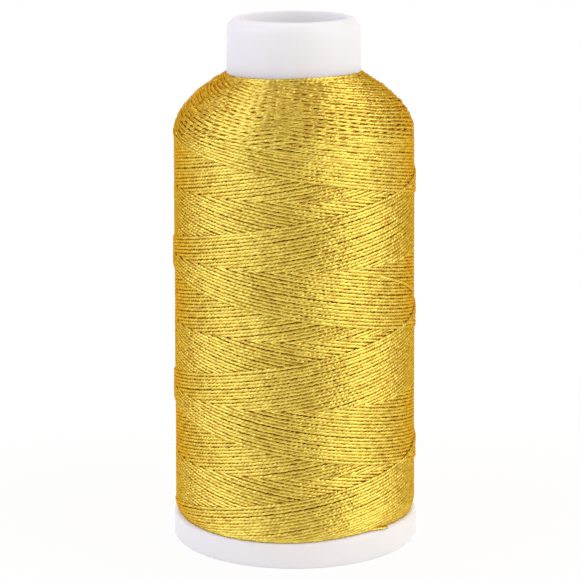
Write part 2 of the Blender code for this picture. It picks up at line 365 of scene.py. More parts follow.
def tube_radius(height):
    """The tube's outer radius at a height, in mm."""
    share = (height - TUBE_SEAT) / (SPOOL_HEIGHT - TUBE_SEAT)
    return TUBE_FOOT_RADIUS + (TUBE_TOP_RADIUS - TUBE_FOOT_RADIUS) * share


def rounded(corners):
    """The closed outline through corners of (radius, height, rounding), each rounding drawn as an arc."""
    outline = []
    for index, (radius, height, rounding) in enumerate(corners):
        corner = Vector((radius, height))
        if rounding <= 0:
            outline.append(corner)
            continue
        to_last = (Vector(corners[index - 1][:2]) - corner).normalized()
        to_next = (Vector(corners[(index + 1) % len(corners)][:2]) - corner).normalized()
        half_angle = to_last.angle(to_next) / 2
        middle = (to_last + to_next).normalized() * (rounding / math.sin(half_angle))
        start = to_last * (rounding / math.tan(half_angle)) - middle
        end = to_next * (rounding / math.tan(half_angle)) - middle
        sweep = math.pi - 2 * half_angle
        steps = max(2, math.ceil(ARC_STEPS * sweep / (math.pi / 2)))
        for step in range(steps + 1):
            turned = sweep * step / steps
            arm = (start * math.sin(sweep - turned) + end * math.sin(turned)) / math.sin(sweep)
            outline.append(corner + middle + arm)
    return outline


def place_piece(name, mesh, material):
    """Puts a mesh in the scene as a piece of the spool."""
    mesh.materials.append(material)
    piece = bpy.data.objects.new(name, mesh)
    bpy.context.scene.collection.objects.link(piece)
    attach(piece, "root")
    return piece


def spin(name, outline, material):
    """A closed outline of (radius, height) in mm, spun once round the axis."""
    shape = bmesh.new()
    corners = [shape.verts.new((radius * MM, 0, height * MM)) for radius, height in outline]
    edges = [shape.edges.new((corners[i - 1], corners[i])) for i in range(len(corners))]
    bmesh.ops.spin(
        shape, geom=corners + edges, axis=(0, 0, 1), angle=math.tau, steps=ROUND_STEPS, use_merge=True
    )
    bmesh.ops.recalc_face_normals(shape, faces=shape.faces)
    mesh = bpy.data.meshes.new(name)
    shape.to_mesh(mesh)
    shape.free()
    mesh.shade_smooth()
    mesh.set_sharp_from_angle(angle=math.radians(30))
    print(name, len(mesh.polygons), "faces")
    return place_piece(name, mesh, material)


print("tube radius half way up, mm:", round(tube_radius(SPOOL_HEIGHT / 2), 2))

# %% [markdown]
# ## The tube and its head
#
# One moulding runs from the foot to the bare white head. The head is thicker than the tube below it, and its
# outer edge is well rounded, because thread comes off over it. The mouth is smooth right down the bore.

# %% Tube


def make_tube():
    collar_foot = SPOOL_HEIGHT - COLLAR_DEPTH
    bore_top = collar_foot - COLLAR_WALL
    bore_foot_radius = TUBE_FOOT_RADIUS - TUBE_WALL
    spigot = TUBE_FOOT_RADIUS - SPIGOT_STEP
    mouth = TUBE_TOP_RADIUS - COLLAR_WALL
    corners = [
        (TUBE_TOP_RADIUS, SPOOL_HEIGHT, HEAD_ROUNDING),
        (TUBE_FOOT_RADIUS, TUBE_SEAT, 0),
        (spigot, TUBE_SEAT, 0),
        (spigot, SPIGOT_LIFT + BEAD_HEIGHT, 0),
        (spigot + BEAD_PROUD, SPIGOT_LIFT + BEAD_HEIGHT / 2, BEAD_HEIGHT / 6),
        (spigot, SPIGOT_LIFT, 0),
        (bore_foot_radius, SPIGOT_LIFT, 0),
        (bore_foot_radius, TUBE_SEAT, 0),
        (tube_radius(bore_top) - TUBE_WALL, bore_top, BORE_ROUNDING),
        (mouth, collar_foot, BORE_ROUNDING),
        (mouth, SPOOL_HEIGHT, MOUTH_ROUNDING),
    ]
    tube = spin("tube_moulding", rounded(corners), thin_polypropylene)
    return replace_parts(tube, "spool_tube")


make_tube()

# %% [markdown]
# ## The foot
#
# The foot is a shallow cap: a plate with a rim that stands on the table, a hub that grips the tube's spigot,
# and eight ribs between them. Only its rounded edge and its rim show in the photograph, and the white runs
# up to the thread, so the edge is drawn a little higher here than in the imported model. At the lower right
# the lowest turns have ridden up, and the edge follows them there.

# %% Foot, in mm
FOOT_EDGE_ROUNDING = 1.0
FOOT_PLATE = 1.6
FOOT_RIM_WALL = 2.2
HUB_WALL = 1.6
RIB_COUNT = 8
RIB_THICKNESS = 1.2
RIB_LIFT = 1.0  # from what the spool stands on
INNER_ROUNDING = 0.3
HUB_ROUNDING = 0.2
FOOT_FULLER = 0.6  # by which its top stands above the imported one, outside the winding's inner layers
SEAT_RADIUS = FOOT_RADIUS - 6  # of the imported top, under those layers
HUB_RADIUS = TUBE_FOOT_RADIUS - SPIGOT_STEP + FIT_GAP
HUB_FOOT = SPIGOT_LIFT + BEAD_HEIGHT + FIT_GAP
FOOT_LIFT = -0.1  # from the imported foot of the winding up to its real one
FOOT_LIFT_BULGE = 0.95  # and how much more at the lower right
FOOT_LIFT_ANGLE = 41  # degrees from the front
FOOT_LIFT_SPREAD = 28


def near(angles, middle, spread):
    """1 at the middle angle, and less on both sides of it, down to nearly nothing at twice the spread."""
    off = (np.asarray(angles) - middle + 180) % 360 - 180
    return np.exp(-((off / spread) ** 2))


def foot_lift(angles):
    """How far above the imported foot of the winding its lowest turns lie, at angles from the front."""
    return FOOT_LIFT + FOOT_LIFT_BULGE * near(angles, FOOT_LIFT_ANGLE, FOOT_LIFT_SPREAD)


def make_rib_guide():
    """The ribs, a guide that the foot is joined to."""
    inside = HUB_RADIUS + HUB_WALL / 2
    outside = FOOT_RADIUS - FOOT_RIM_WALL / 2
    top = FOOT_HEIGHT - FOOT_PLATE / 2
    shape = bmesh.new()
    for rib in range(RIB_COUNT):
        made = bmesh.ops.create_cube(shape, size=1)["verts"]
        bmesh.ops.scale(shape, verts=made, vec=(outside - inside, RIB_THICKNESS, top - RIB_LIFT))
        bmesh.ops.translate(shape, verts=made, vec=((inside + outside) / 2, 0, (top + RIB_LIFT) / 2))
        spoke = Matrix.Rotation(math.tau * (rib + 0.5) / RIB_COUNT, 3, "Z")
        bmesh.ops.rotate(shape, verts=made, cent=(0, 0, 0), matrix=spoke)
    bmesh.ops.scale(shape, verts=shape.verts, vec=(MM, MM, MM))
    mesh = bpy.data.meshes.new("rib_guide")
    shape.to_mesh(mesh)
    shape.free()
    guide = bpy.data.objects.new("rib_guide", mesh)
    guide.hide_render = True
    guide.display_type = "WIRE"
    bpy.context.scene.collection.objects.link(guide)
    return guide


def raise_edge(foot):
    """Lifts the edge's rounding, from its foot to its top, by as much as the lowest turns have ridden up."""
    edge_foot = FOOT_HEIGHT + FOOT_FULLER - FOOT_EDGE_ROUNDING
    for vertex in foot.data.vertices:
        share = min(max((vertex.co.z / MM - edge_foot) / FOOT_EDGE_ROUNDING, 0), 1)
        if math.hypot(vertex.co.x, vertex.co.y) > SEAT_RADIUS * MM:
            angle = math.degrees(math.atan2(vertex.co.x, -vertex.co.y))
            vertex.co.z += share * (float(foot_lift(angle)) - FOOT_LIFT) * MM


def make_foot():
    plate_under = FOOT_HEIGHT - FOOT_PLATE
    rim_inside = FOOT_RADIUS - FOOT_RIM_WALL
    corners = [
        (HUB_RADIUS, FOOT_HEIGHT, 0),
        (SEAT_RADIUS, FOOT_HEIGHT, 0),
        (SEAT_RADIUS + FOOT_FULLER, FOOT_HEIGHT + FOOT_FULLER, 0),
        (FOOT_RADIUS, FOOT_HEIGHT + FOOT_FULLER, FOOT_EDGE_ROUNDING),
        (FOOT_RADIUS, 0, FOOT_RIM_WALL / 6),
        (rim_inside, 0, FOOT_RIM_WALL / 6),
        (rim_inside, plate_under, INNER_ROUNDING),
        (HUB_RADIUS + HUB_WALL, plate_under, INNER_ROUNDING),
        (HUB_RADIUS + HUB_WALL, HUB_FOOT, HUB_ROUNDING),
        (HUB_RADIUS, HUB_FOOT, HUB_ROUNDING),
    ]
    foot = spin("foot_moulding", rounded(corners), polypropylene)
    raise_edge(foot)
    ribs = foot.modifiers.new("ribs", "BOOLEAN")
    ribs.operation = "UNION"
    ribs.object = make_rib_guide()
    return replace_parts(foot, "foot_flange")


make_foot()

# %% [markdown]
# ## Gold thread
#
# Metallised craft thread is a few plies twisted together, and each ply is a core with a narrow strip of gold
# lacquered film wound round it. From a step away one sees a bright thread with slanting beads, the plies,
# and in each bead small flat facets, which glint or go dark as they happen to face. So the material works in
# the thread's own directions: the length along it and the share of the way round it, which the meshes below
# carry as a map. The metal does the shining, and the dyed lacquer over it gives the colour: yellow where one
# looks straight down through it, and more orange where the light skims it, because its way through the dye
# is longer. The colour also has painted shade: in the grooves between the plies, and on a thread's flanks,
# where it lies against the next one, deeper where they lie closely.

# %% Sizes and tones of the thread's film
PLIES = 2
BEAD_SPACING = 1.2  # mm between neighbouring plies, along the thread
PLY_GROOVE = 0.04  # mm deep between plies
FILM_WIDTH = 0.26  # mm, of the strip that is wound round each ply
FACET_LENGTH = 1.0  # mm of it that lie flat before it turns under
FACET_TILT = 0.03  # mm of height between neighbouring facets
GIRTH = 2.2  # mm round the thread
TONE_LENGTH = 4.0  # mm over which the lacquer's shade drifts
FLANK_SHADE_LENGTH = 1.1  # mm over which its flank lies more or less closely against its neighbour, which deepens and lightens the painted shade there
GROOVE_SHADE_TONE = 0.66  # the shares of the bright colour that are left: as painted shade in the grooves between plies,
FACET_TONE = 0.76  # in the darkest facet,
DRIFT_TONE = 0.7  # where the lacquer is deepest,
FLANK_SHADE_TONES = (0.24, 0.7)  # and as painted shade on flanks that lie closely and loosely against their neighbours
GLOSS = (0.24, 0.44)  # the roughness of the smoothest and the roughest facet
MAP_NAME = "thread_lay"  # millimetres along a thread, and the share of the way round it
print("facets, mm:", FACET_LENGTH, "by", FILM_WIDTH)

# %% Metallised gold thread


def make_gold_thread(name, bright, deep_and_shade, facet_seed):
    """Metallised thread between the bright colour and the deep one, the deep one also standing for painted
    shade. The seed shifts its facets.
    """
    material, tree, output = empty_material(name)
    # Where on the thread: its map, and how far round the twist has come.
    lay = add(tree, "ShaderNodeUVMap", {"uv_map": MAP_NAME}).outputs[0]
    split = add(tree, "ShaderNodeSeparateXYZ", Vector=lay).outputs
    along = add(tree, "ShaderNodeMath", {"operation": "DIVIDE"}, in_0=split["X"], in_1=BEAD_SPACING)
    turns = add(tree, "ShaderNodeMath", {"operation": "MULTIPLY_ADD"}, in_0=split["Y"], in_1=float(PLIES),
                in_2=along.outputs[0])
    half_wave = add(tree, "ShaderNodeMath", {"operation": "MULTIPLY"}, in_0=turns.outputs[0], in_1=math.pi)
    wave = add(tree, "ShaderNodeMath", {"operation": "COSINE"}, in_0=half_wave.outputs[0])
    ply = add(tree, "ShaderNodeMath", {"operation": "ABSOLUTE"}, in_0=wave.outputs[0])
    # The facets of the film, each a cell with its own tone and gloss.
    across = add(tree, "ShaderNodeMath", {"operation": "MULTIPLY"}, in_0=split["Y"], in_1=GIRTH / FILM_WIDTH)
    down = add(tree, "ShaderNodeMath", {"operation": "DIVIDE"}, in_0=split["X"], in_1=FACET_LENGTH)
    spot = add(tree, "ShaderNodeCombineXYZ", X=down.outputs[0], Y=across.outputs[0], Z=facet_seed)
    facets = add(tree, "ShaderNodeTexVoronoi", {"feature": "F1"}, Vector=spot.outputs[0], Scale=1.0)
    facet = add(tree, "ShaderNodeSeparateXYZ", Vector=facets.outputs["Color"]).outputs
    # The relief of plies and facets.
    height = add(tree, "ShaderNodeMath", {"operation": "MULTIPLY_ADD"}, in_0=facets.outputs["Distance"],
                 in_1=-FACET_TILT / PLY_GROOVE, in_2=ply.outputs[0])
    relief = add(tree, "ShaderNodeBump", Height=height.outputs[0], Distance=PLY_GROOVE * MM, Strength=1.0)
    # The tones: painted shade in the groove, the facet's tone, the lacquer's drift, and painted shade on the
    # flank.
    shade = add(tree, "ShaderNodeMapRange", in_0=ply.outputs[0], in_1=0.05, in_2=0.55, in_3=GROOVE_SHADE_TONE)
    tone = add(tree, "ShaderNodeMapRange", in_0=facet["X"], in_3=FACET_TONE, in_4=1.0)
    lacquer = add(tree, "ShaderNodeTexNoise", {"noise_dimensions": "1D"}, W=split["X"], Scale=1 / TONE_LENGTH,
                  Detail=1.0)
    drift = add(tree, "ShaderNodeMapRange", in_0=lacquer.outputs["Fac"], in_1=0.3, in_2=0.6, in_3=DRIFT_TONE)
    round_angle = add(tree, "ShaderNodeMath", {"operation": "MULTIPLY"}, in_0=split["Y"], in_1=math.tau)
    facing = add(tree, "ShaderNodeMath", {"operation": "COSINE"}, in_0=round_angle.outputs[0])
    flank_shade_drift = add(tree, "ShaderNodeTexNoise", {"noise_dimensions": "1D"}, W=split["X"], Scale=1 / FLANK_SHADE_LENGTH,
               Detail=0.0)
    darkest_flank_shade = add(tree, "ShaderNodeMapRange", in_0=flank_shade_drift.outputs["Fac"], in_1=0.4, in_2=0.6,
                  in_3=FLANK_SHADE_TONES[0], in_4=FLANK_SHADE_TONES[1])
    flank_shade = add(tree, "ShaderNodeMapRange", in_0=facing.outputs[0], in_1=-0.1, in_2=0.64,
                in_3=darkest_flank_shade.outputs[0])
    # The level multiplies the random tones with the painted shade of grooves and flanks; low levels take the
    # deep colour.
    level = drift
    for share in (tone, shade, flank_shade):
        level = add(tree, "ShaderNodeMath", {"operation": "MULTIPLY"}, in_0=level.outputs[0],
                    in_1=share.outputs[0])
    colour = add(tree, "ShaderNodeMix", {"data_type": "RGBA"}, in_0=level.outputs[0], in_6=linear(deep_and_shade),
                 in_7=linear(bright))
    gloss = add(tree, "ShaderNodeMapRange", in_0=facet["Y"], in_3=GLOSS[0], in_4=GLOSS[1])
    gold = add(
        tree, "ShaderNodeBsdfPrincipled", Base_Color=colour.outputs[2], Roughness=gloss.outputs[0],
        Metallic=1.0, Specular_Tint=linear("#e8a75e"), Normal=relief.outputs["Normal"],
    )
    tree.links.new(gold.outputs[0], output.inputs["Surface"])
    print(name, len(tree.nodes), "nodes")
    return material


# The deep colour is the lacquer's deepest tone and also the colour of the painted shade in grooves and on
# flanks.
gold_thread = make_gold_thread("gold_metallised_polyester", "#fce96f", "#ac6e00", 0.0)
# The inner layers' copy of the gold has darker colours: painted shade.
gold_in_painted_shade = make_gold_thread("gold_metallised_inner_layers_painted_shade", "#d6a630", "#a06c00", 5.0)

# %% [markdown]
# ## The shape of the winding
#
# A long, very slight taper, and above it a rounded shoulder where each layer of thread stops a little lower
# than the one inside it. The lowest few millimetres have sunk inwards on two sides, where the turns slipped
# on the foot. Everything that is wound reads its radius here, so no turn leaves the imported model.

# %% Winding shape, in mm
WINDING_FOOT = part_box("thread_inner_layers")[0].z / MM
WINDING_FOOT_RADIUS = FOOT_RADIUS - 0.35
WINDING_TAPER = 0.75
SLUMP_HEIGHT = 4.0  # over which the lowest turns have sunk inwards
SLUMP_ALL_ROUND = 0.25
SLUMPS = ((1.3, 62, 38), (1.2, -72, 26))  # how much more, and the middle and the spread of it in degrees
SHOULDER_HEIGHT = 14.0
SHOULDER_FULLNESS = 0.9  # 1 is a quarter of an ellipse, less is fuller
NECK_STEP = 0.35  # from the tube out to the winding's top
SHOULDER_START = NECK_HEIGHT - SHOULDER_HEIGHT
NECK_RADIUS = tube_radius(NECK_HEIGHT) + NECK_STEP


def winding_radius(height):
    """The outside of the winding at each height."""
    share = (height - WINDING_FOOT) / (SHOULDER_START - WINDING_FOOT)
    body = WINDING_FOOT_RADIUS - WINDING_TAPER * np.minimum(share, 1)
    drop = np.clip((NECK_HEIGHT - height) / SHOULDER_HEIGHT, 0, 1)
    shoulder_top = WINDING_FOOT_RADIUS - WINDING_TAPER
    shoulder = NECK_RADIUS + (shoulder_top - NECK_RADIUS) * np.sin(math.pi / 2 * drop**SHOULDER_FULLNESS)
    return np.where(height < SHOULDER_START, body, shoulder)


def slump(angles, heights):
    """How far the lowest turns have sunk inwards, at angles from the front."""
    share = np.clip(1 - (heights - WINDING_FOOT) / SLUMP_HEIGHT, 0, 1)
    return (SLUMP_ALL_ROUND + sum(depth * near(angles, *where) for depth, *where in SLUMPS)) * share**2


print("winding radius, mm, at the foot, mid-height and neck:",
      [round(float(winding_radius(h)), 2) for h in (WINDING_FOOT, 60.0, NECK_HEIGHT)])

# %% [markdown]
# ## Drawing thread
#
# The thread is a cord of two plies twisted together, so its outline swells and narrows twice in each turn of
# the twist. That swelling is what breaks the dark lines between neighbouring threads into short slots, so it
# is modelled and not painted. A curve with a bevel could draw a round cord, but not one that swells, so each
# stretch is a tube made from its path: a ring of six corners every quarter of a millimetre or so, which
# makes four rings for each swelling and draws the twist with few faces. All stretches of a group share one
# mesh with two maps: the thread's own directions, which the material reads, and a map for baking, which lays
# the stretches out in rows.

# %% Rings along a path
THREAD_WIDTH = 0.88  # mm, between the plies' swellings and their waists
THREAD_THICKNESS = 0.62  # pressed a little flat on the spool
SWELLING = 0.07  # the share by which the plies stand out beyond that, and the waists fall short
UNEVENNESS = 0.05  # the share by which its size drifts, over some millimetres
UNEVEN_LENGTHS = (1.1, 2.3, 5.2)  # mm
LAY_ERRORS = ((0.12, 3.1), (0.3, 8.9))  # mm by which the twist runs ahead or behind, and over what length
THREAD_SIDES = 6
END_TAPER = 0.35  # the share of its size that an end narrows to


def on_spool(angles, radii, heights):
    """Points at angles in degrees from the front, -Y, towards +X."""
    turned = np.radians(angles)
    return np.stack([radii * np.sin(turned), -radii * np.cos(turned), heights], axis=-1)


def unit(vectors):
    return vectors / np.linalg.norm(vectors, axis=-1, keepdims=True)


def outward_on_spool(points):
    """The direction straight out of the winding at each point."""
    heights = points[:, 2]
    slope = (winding_radius(heights + 0.2) - winding_radius(heights - 0.2)) / 0.4
    level = unit(points * (1, 1, 0))
    return unit(level - slope[:, None] * (0, 0, 1))


def thread_rings(points, outward, width, rng):
    """The rings of one thread, the length along it of each, and that length as the uneven twist counts it."""
    first_length = rng.uniform(0, 1000)
    steps = np.linalg.norm(np.diff(points, axis=0), axis=1)
    lengths = first_length + np.concatenate([[0], np.cumsum(steps)])
    laid = lengths.copy()
    for error, wave in LAY_ERRORS:
        laid += error * np.sin(math.tau * (lengths / wave + rng.random()))
    forward = unit(np.gradient(points, axis=0))
    side = unit(np.cross(forward, outward))
    up = np.cross(side, forward)
    around = math.tau * np.arange(THREAD_SIDES) / THREAD_SIDES
    size = 1 + SWELLING * np.cos(PLIES * around[None] + math.tau * laid[:, None] / BEAD_SPACING)
    for drift_length in UNEVEN_LENGTHS:
        size += UNEVENNESS * np.sin(math.tau * (lengths / drift_length + rng.random()))[:, None]
    size[[0, -1]] *= END_TAPER
    rise = (np.cos(around) * size)[..., None] * up[:, None] * THREAD_THICKNESS / 2
    spread = (np.sin(around) * size)[..., None] * side[:, None] * width / 2
    return points[:, None] + rise + spread, lengths, laid


print("thread, mm:", THREAD_WIDTH, "by", THREAD_THICKNESS, "with a bead every", BEAD_SPACING)

# %% Maps for the rings' faces
BAKE_MAP = "OFBake"
BAKE_ROWS = 96
ROW_FILL = 0.86  # the share of a row's height that its threads take up


def on_quads(starts, stops, lows, highs):
    """A map's values at the corners of quads, which run from a start to a stop and from low to high."""
    corners = [(starts, highs), (stops, highs), (stops, lows), (starts, lows)]
    return np.stack([np.stack(corner, axis=-1) for corner in corners], axis=-2).reshape(-1)


def lay_out_maps(mesh, spans, run, cap_count):
    """The thread's own directions, and the rows for baking, at each face corner."""
    starts, stops, ran_from, ran_to = np.repeat(spans, THREAD_SIDES, axis=0).T
    row_length = run / (BAKE_ROWS - 1)
    row = np.floor(ran_from / row_length)
    row_width = row_length + (ran_to - ran_from).max()
    lows = np.tile(np.arange(THREAD_SIDES) / THREAD_SIDES, len(spans))
    highs = lows + 1 / THREAD_SIDES
    foot = row + (1 - ROW_FILL) / 2
    baked = on_quads(
        (ran_from - row * row_length) / row_width, (ran_to - row * row_length) / row_width,
        (foot + lows * ROW_FILL) / BAKE_ROWS, (foot + highs * ROW_FILL) / BAKE_ROWS,
    )
    around = math.tau * np.arange(THREAD_SIDES) / THREAD_SIDES
    disc = np.tile(np.stack([np.cos(around), np.sin(around)], axis=-1).reshape(-1), cap_count)
    for map_name, tube_part, cap_part in (
        (MAP_NAME, on_quads(starts, stops, lows, highs), disc / 10),
        (BAKE_MAP, baked, (0.5 + 0.3 * disc) / BAKE_ROWS),
    ):
        layer = mesh.uv_layers.new(name=map_name)
        layer.uv.foreach_set("vector", np.concatenate([tube_part, cap_part]).astype(np.float32))


print("the map for baking has", BAKE_ROWS, "rows")

# %% One mesh for many threads


def thread_mesh(name, paths, rng, width=THREAD_WIDTH):
    """One mesh for many threads, each a list of points in mm and the outward direction at each."""
    corners, rings, ends, spans = [], [], [], []
    start, run = 0, 0.0
    for points, outward in paths:
        ring_corners, lengths, laid = thread_rings(points, outward, width, rng)
        corners.append(ring_corners.reshape(-1, 3))
        rings.append(start + np.arange(len(points) - 1) * THREAD_SIDES)
        ends.append((start, start + (len(points) - 1) * THREAD_SIDES))
        ran = run + lengths - lengths[0]
        spans.append(np.column_stack([laid[:-1], laid[1:], ran[:-1], ran[1:]]))
        start += len(points) * THREAD_SIDES
        run = ran[-1]
    rings = np.concatenate(rings)[:, None]
    here = np.arange(THREAD_SIDES)[None]
    after = (here + 1) % THREAD_SIDES
    next_rings = rings + THREAD_SIDES
    quads = np.stack([rings + after, next_rings + after, next_rings + here, rings + here], -1).reshape(-1, 4)
    caps = np.concatenate([np.stack([first + here[0][::-1], last + here[0]]) for first, last in ends])
    mesh = bpy.data.meshes.new(name)
    fill_mesh(mesh, np.concatenate(corners) * MM, quads, caps)
    lay_out_maps(mesh, np.concatenate(spans), run, len(caps))
    mesh.shade_smooth()
    print(f"{name}: {len(paths)} stretches, {run / 1000:.1f} m, {2 * len(quads)} triangles")
    return mesh


def fill_mesh(mesh, corners, quads, caps):
    """Writes corners and faces straight into a mesh, which is quick for large ones."""
    sizes = np.concatenate([np.full(len(quads), 4), np.full(len(caps), caps.shape[1])])
    mesh.vertices.add(len(corners))
    mesh.vertices.foreach_set("co", corners.reshape(-1).astype(np.float32))
    mesh.loops.add(int(sizes.sum()))
    around_faces = np.concatenate([quads.reshape(-1), caps.reshape(-1)])
    mesh.loops.foreach_set("vertex_index", around_faces.astype(np.int32))
    mesh.polygons.add(len(sizes))
    mesh.polygons.foreach_set("loop_start", np.concatenate([[0], np.cumsum(sizes)[:-1]]).astype(np.int32))
    mesh.update(calc_edges=True)

# %% [markdown]
# ## How the thread was laid
#
# The winder turns the spool steadily while a guide travels up and down it three turns for each pass. Every
# pass lands one thread further round than the last, so after 40 passes the whole surface is covered once by
# rising threads and once by falling ones. Which of the two shows at a place is simply which was laid there
# later. That one rule makes the pattern of the real spool: long flat diamonds, whose level borders are where
# rising and falling threads plait, and whose slanting borders are steps, one thread high, along the newest
# thread. So the script lays the threads by that rule, and keeps of each only what shows.

# %% The rule of the winding
RNG = np.random.default_rng(43)
PASSES = 40  # threads side by side in one lead
LEAD = 33.3  # mm that a thread rises in one turn
RISE = LEAD / 360  # mm for each degree
TURNS_A_PASS = 3
PASS_ANGLE = 360.0 * TURNS_A_PASS
TOP_TURN_ANGLE = 241.0  # degrees from the front, where the newest thread turns back at the top
TOP_CROSSING = 105.15  # mm up, where rising and falling threads would meet if they turned sharply
TOP_TURN = 40.0  # degrees over which the thread turns back at the top
FOOT_TURN = 15.0  # and at the foot
TOP_JOIN = 42.0  # degrees from its turn at which a thread comes from under the shoulder's, on average,
EARLIEST_START, LATEST_START = 30.0, 56.0  # and at the least and the most
WHOLE_TURNS = 8  # every so many-th turn at the top is drawn whole
TOP_STARTS = RNG.uniform(EARLIEST_START, LATEST_START, PASSES)


def pass_height(turned):
    """The height of a thread that many degrees from its turn at the top."""
    from_foot = PASS_ANGLE - turned
    from_top = np.hypot(turned, TOP_TURN) - turned
    at_foot = np.hypot(from_foot, FOOT_TURN) - from_foot
    return TOP_CROSSING - RISE * (turned + from_top - at_foot)


def top_start(number):
    """How near its turn at the top a pass is drawn: threads crowd there, so most of them run under."""
    return TOP_STARTS[number] if number % WHOLE_TURNS else 0


slope = math.degrees(math.atan(LEAD / (math.tau * WINDING_FOOT_RADIUS)))
print(f"the thread climbs at {slope:.1f} degrees, and its neighbour lies {LEAD / PASSES:.2f} mm off")

# %% How deep and how true a thread lies
LAYER_STEP = 0.36  # mm by which the newest thread stands above the one it crosses
CLIMB = 3.0  # degrees in which a thread comes up between its neighbours
UNDERRUN = 9.0  # degrees of it that are kept below its neighbours before that
TUCK = 10.0  # degrees of it that are kept where it runs under others
TURN_DEPTH = 0.05  # mm: at its turn the newest thread lies nearly level with the others
TURN_BLEND = 70.0  # degrees from there to its own depth
SHOULDER_DEPTH = 0.12  # mm at which the shoulder's threads lie under the winding's outside
JOIN_BLEND = 40.0  # degrees from there to a falling thread's own depth
FALLING_START = (0.4, 9.0)  # mm that it first lies deeper still, and the degrees in which it comes up
RISING_END = (0.5, 20.0)  # the same of a rising thread, which goes under there
SPACING_ERROR = 0.025  # mm by which a thread lies off its place
WANDER = (0.035, 140)  # mm by which it drifts up and down, and over how many degrees
SHORT_WANDER = (0.028, 8)
DEPTH_WANDER = (0.02, 12)
STEADY_AT_TOP, STEADY_AT_FOOT = 60, 30  # degrees from its turns in which that drift sets in
LIFT_TOP = 14  # mm up, below which threads follow the lift at the foot,
LIFT_RANGE = 8  # and in how many mm they come to follow it fully
ANGLE_STEP = 0.54  # degrees between rings
print(f"the newest thread stands {LAYER_STEP / THREAD_THICKNESS:.2f} of its thickness above what it crosses")

# %% Drifting and easing


def wander(angles, size, longest, rng):
    """A slow, seeded drift along a thread."""
    drift = np.zeros_like(angles)
    for octave in range(4):
        wave = longest / 1.8**octave
        drift += np.sin(math.tau * (angles / wave + rng.random())) / (octave + 1)
    return size * drift


def smooth_step(values):
    """0 up to 0, 1 from 1 on, and an even swing between."""
    held = np.clip(values, 0, 1)
    return held * held * (3 - 2 * held)


print("a quarter of the way, eased:", float(smooth_step(0.25)))

# %% The part of a pass that shows


def stretch_of(number, falling, lap, rng):
    """The part of one pass that shows between two crossings with the newest thread, half a turn apart."""
    own_age = (number + (0 if falling else 0.5)) / PASSES
    share_hidden = own_age * 180
    if falling:
        first, last = lap * 180 - UNDERRUN, (lap + 1) * 180 - share_hidden + TUCK
    else:
        first, last = lap * 180 + share_hidden - TUCK, (lap + 1) * 180 + UNDERRUN
    first, last = max(first, top_start(number)), min(last, PASS_ANGLE)
    if last - first < 3 * ANGLE_STEP:
        return None
    turned = np.linspace(first, last, max(4, round((last - first) / ANGLE_STEP)))
    side = 1 if falling else -1
    angles = TOP_TURN_ANGLE + 360 * number / PASSES + side * turned
    drift = rng.normal(0, SPACING_ERROR) + wander(angles, *WANDER, rng)
    drift += wander(angles, *SHORT_WANDER, rng)
    held = smooth_step(turned / STEADY_AT_TOP)
    heights = pass_height(turned) + drift * held * smooth_step((PASS_ANGLE - turned) / STEADY_AT_FOOT)
    heights += foot_lift(angles) * smooth_step((LIFT_TOP - heights) / LIFT_RANGE)
    from_climb = turned - lap * 180 if falling else (lap + 1) * 180 - turned
    depth = depth_of(number, falling, own_age, from_climb, turned) + wander(angles, *DEPTH_WANDER, rng)
    radii = winding_radius(heights) - THREAD_THICKNESS / 2 - depth - slump(angles, heights)
    points = on_spool(angles, radii, heights)
    return points, outward_on_spool(points)


def depth_of(number, falling, own_age, from_climb, turned):
    """How deep a thread lies: by the layers that came after it, and at its ends by what it comes from."""
    other_age = own_age + from_climb / 180
    depth = LAYER_STEP * (own_age + other_age - 1)
    depth += LAYER_STEP * (1 - smooth_step(from_climb / CLIMB * 0.5 + 0.5))
    from_start = turned - top_start(number)
    if top_start(number) == 0:
        return (depth - TURN_DEPTH) * smooth_step(from_start / TURN_BLEND) + TURN_DEPTH
    if falling:
        depth = SHOULDER_DEPTH + (depth - SHOULDER_DEPTH) * smooth_step(from_start / JOIN_BLEND)
    deeper, comes_up = FALLING_START if falling else RISING_END
    return depth + deeper * (1 - smooth_step(from_start / comes_up))


print("a thread of middle age is drawn over", 90 + UNDERRUN + TUCK, "of each 180 degrees")

# %% Lay the threads of the body
LAPS = {"upper": (0, 1), "middle": (2, 3), "lower": (4, 5)}  # half turns down from the top, in three pieces


def lay_threads(name, paths, width=THREAD_WIDTH):
    """Many threads as one piece of the spool."""
    return place_piece(name, thread_mesh(name, paths, RNG, width), gold_thread)


def lay_family(name, falling, laps):
    """All the stretches of rising threads, or of falling ones, in some laps."""
    paths = []
    for number in range(PASSES):
        for lap in laps:
            stretch = stretch_of(number, falling, lap, RNG)
            if stretch:
                paths.append(stretch)
    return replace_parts(lay_threads(name, paths), "thread_outer_turns")


for part, laps in LAPS.items():
    lay_family("thread_rising_" + part, False, laps)
    lay_family("thread_falling_" + part, True, laps)

# %% [markdown]
# ## The turns at the foot
#
# Every layer starts from the foot, where the thread runs level for a moment before the guide takes it up.
# Drawn as whole passes these would crowd into a heap, so two level turns stand for them. They follow the
# slump and the lift there, and are what one sees next to the white.

# %% Level turns at the foot
FOOT_TURNS = 2
LOWEST_TURN = 0.62  # mm from the winding's foot up to the middle of the lowest
FOOT_TURN_STEP = 0.5  # mm from one up to the next
FOOT_TURN_DEPTH = 0.2  # mm that the lowest lies under the winding's outside,
FOOT_TURN_OUT = 0.1  # and how much less the next
FOOT_TURN_SHIFT = 150  # degrees between their starts
FOOT_TURN_WANDER = (0.02, 50)  # mm and degrees
FOOT_TURN_DEPTH_WANDER = (0.02, 30)
FULL_TURN = 363  # degrees, with the little by which a turn passes its own start


